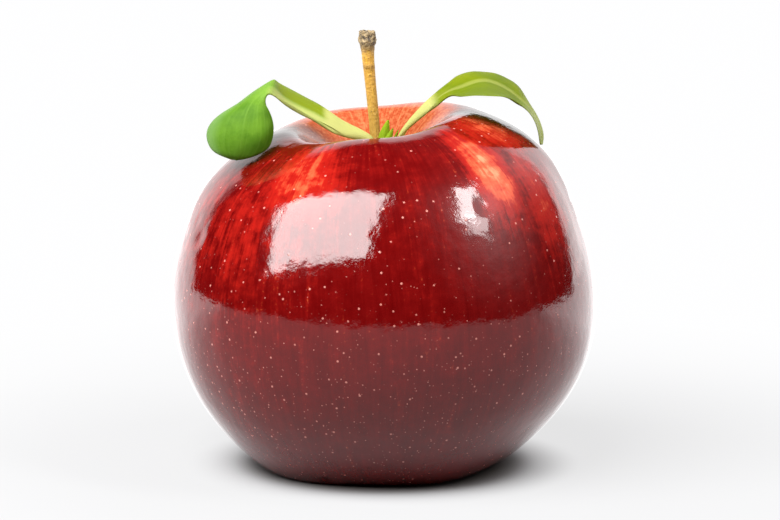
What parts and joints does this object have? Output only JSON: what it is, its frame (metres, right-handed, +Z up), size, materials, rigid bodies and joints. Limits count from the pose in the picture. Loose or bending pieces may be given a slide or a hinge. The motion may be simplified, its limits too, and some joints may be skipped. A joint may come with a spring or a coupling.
{
  "type": "apple",
  "caption": "Red eating apple with its stem, young green leaves and small shoots, standing on its flat base",
  "frame": {"origin": "on the resting surface, under the middle of the whole apple's box", "axes": "+Z up along the stem, -Y is the front with the left leaf to -X and the right leaf to +X"},
  "size_m": [0.0804, 0.0786, 0.0823],
  "materials": {
    "skin": "glossy waxy skin with pale dots",
    "stem_bark": "matt ochre bark with a grey corky head",
    "leaf": "satin leaf with fine veins",
    "shoot": "satin young leaf",
    "calyx": "dry and matt"
  },
  "bodies": {
    "root": {"fruit": "skin", "stem": "stem_bark", "leaf_left": "leaf", "leaf_right": "leaf", "bud_tall": "shoot", "bud_mid": "shoot", "bud_tip": "shoot", "sepal_1": "calyx", "sepal_2": "calyx", "sepal_3": "calyx", "sepal_4": "calyx", "sepal_5": "calyx", "stamens": "calyx"}
  },
  "joints": []
}
